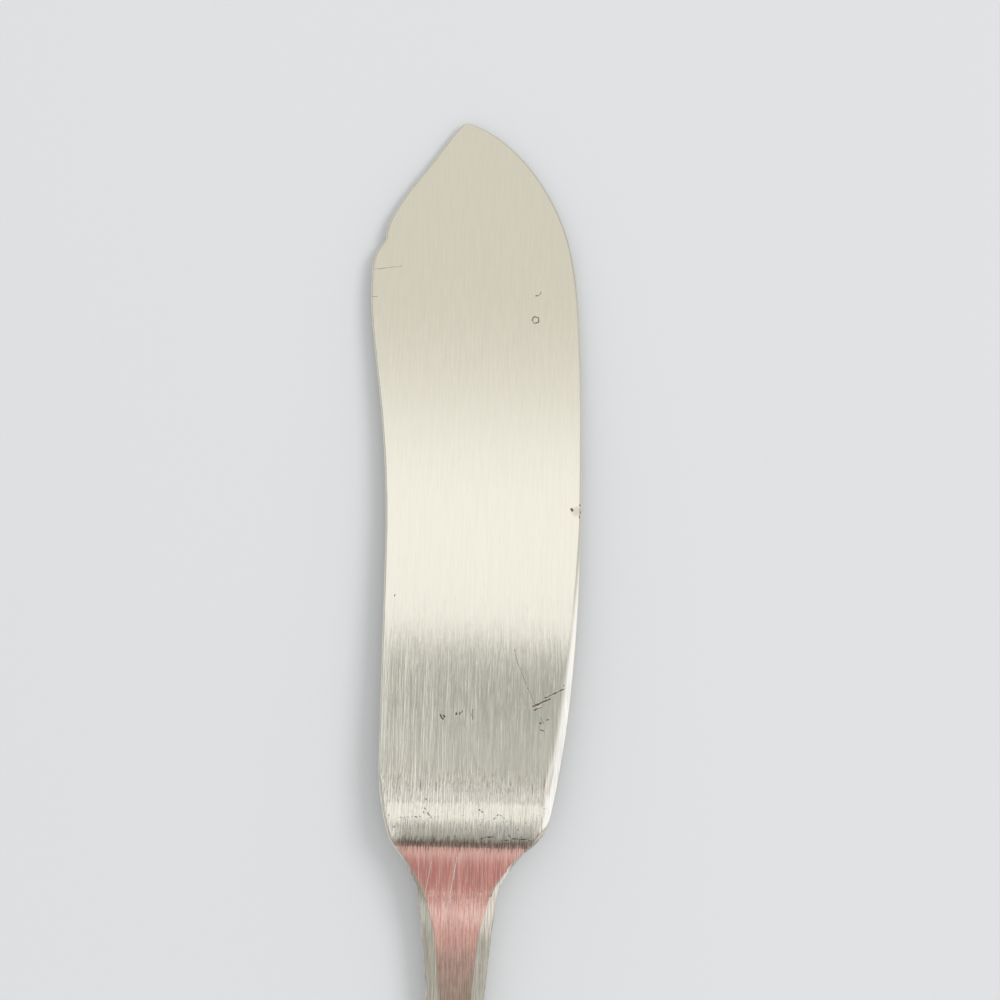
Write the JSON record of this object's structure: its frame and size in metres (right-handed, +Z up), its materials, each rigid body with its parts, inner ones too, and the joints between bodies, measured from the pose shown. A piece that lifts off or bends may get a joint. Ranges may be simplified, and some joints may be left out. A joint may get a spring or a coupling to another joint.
{
  "type": "butter knife",
  "caption": "Flat-handled steel butter knife with a broad stepped blade, a narrow bevelled neck and a gently arched handle, for cutting and spreading butter.",
  "frame": {"origin": "centre of the knife's plan box, on the surface that it lies on, face down", "axes": "+Y along the handle's axis towards the tip, +X towards the cutting edge, +Z up out of the knife's back"},
  "size_m": [0.0212, 0.175, 0.0067],
  "materials": {
    "steel": "satin stainless steel with a lengthwise brushed grain, fine scratches and a little pitting at the shoulder"
  },
  "bodies": {
    "root": {"blade": "steel", "neck": "steel", "handle": "steel"}
  },
  "joints": []
}
